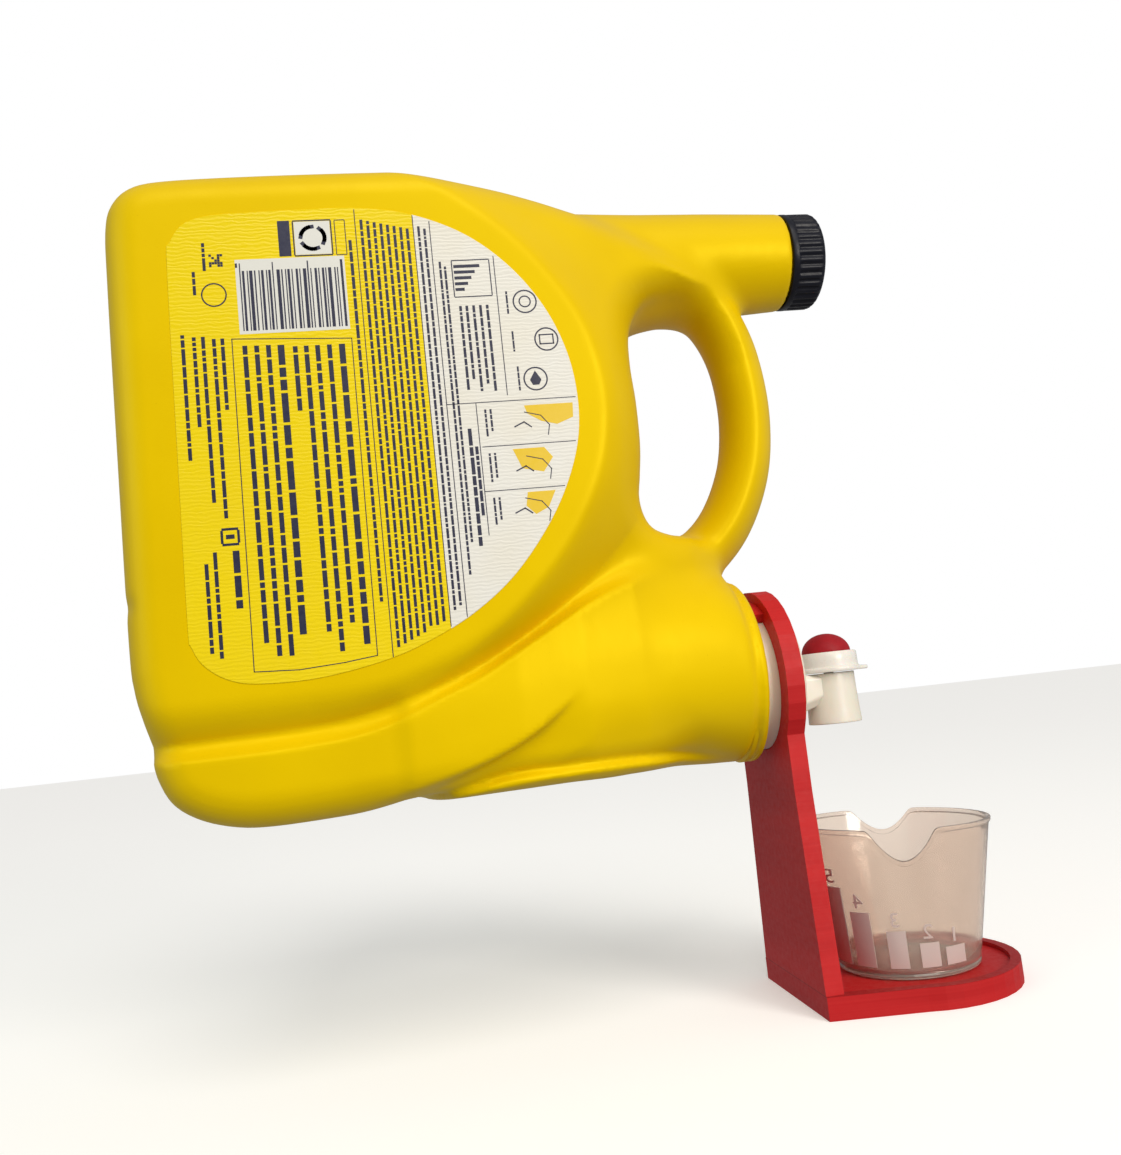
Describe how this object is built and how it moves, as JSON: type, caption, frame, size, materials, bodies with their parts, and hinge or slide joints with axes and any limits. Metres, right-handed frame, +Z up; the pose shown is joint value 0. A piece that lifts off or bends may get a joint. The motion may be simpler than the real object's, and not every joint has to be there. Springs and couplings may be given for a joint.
{
  "type": "detergent dispenser bottle",
  "caption": "Wide handled detergent bottle lying on its side, with a press tap, a fill cap, and a stand that holds a dosing cup under the spout.",
  "frame": {"origin": "middle of the flat underside that the bottle lies on", "axes": "+X along the bottle from its base to its necks, +Z up, wide label sides face -Y and +Y"},
  "size_m": [0.3463, 0.1262, 0.349],
  "materials": {
    "bottle_yellow": "satin blow-moulded",
    "front_film": "satin film",
    "rear_film": "satin film",
    "collar_cream": "satin",
    "gasket_grey": "matte",
    "tap_cream": "satin",
    "stem_white": "satin",
    "seal_black": "matte",
    "ring_white": "smooth",
    "button_red": "soft satin",
    "cap_navy": "satin, ribbed",
    "liner_white": "foam",
    "stand_red": "matte, fine printed layers",
    "cup_clear": "clear"
  },
  "bodies": {
    "bottle": {"bottle_shell": "bottle_yellow", "front_label": "front_film", "rear_label": "rear_film", "tap_collar": "collar_cream", "collar_gasket": "gasket_grey", "tap_body": "tap_cream", "button_ring": "ring_white"},
    "button": {"button_dome": "button_red", "valve_stem": "stem_white", "valve_seal": "seal_black"},
    "fill_cap_rise": {"vent_cap_liner": "liner_white"},
    "fill_cap": {"vent_cap": "cap_navy"},
    "stand": {"cup_stand": "stand_red"},
    "cup": {"dosing_cup": "cup_clear"}
  },
  "joints": [
    {"name": "button_press", "type": "slide", "parent": "bottle", "child": "button", "axis": [0, 0, -1], "range_m": [0, 0.0042], "stiffness_N_per_m": 1200, "springref_m": -0.001},
    {"name": "vent_cap_lift", "type": "slide", "parent": "bottle", "child": "fill_cap_rise", "axis": [1, 0, 0], "range_m": [0, 0.0148]},
    {"name": "vent_cap_turn", "type": "hinge", "parent": "fill_cap_rise", "child": "fill_cap", "pos_m": [0.189, 0, 0.2252], "axis": [1, 0, 0], "range_deg": [0, 1260]},
    {"name": "stand_swing", "type": "hinge", "parent": "bottle", "child": "stand", "pos_m": [0.145, 0, 0.0346], "axis": [1, 0, 0], "range_deg": [-60, 60]},
    {"name": "cup_lift", "type": "slide", "parent": "stand", "child": "cup", "axis": [0.9063, 0, 0.4226], "range_m": [0, 0.1]}
  ],
  "couplings": [
    {"joint": "vent_cap_lift", "follows": "vent_cap_turn", "m_per_rad": 0.00066845}
  ]
}
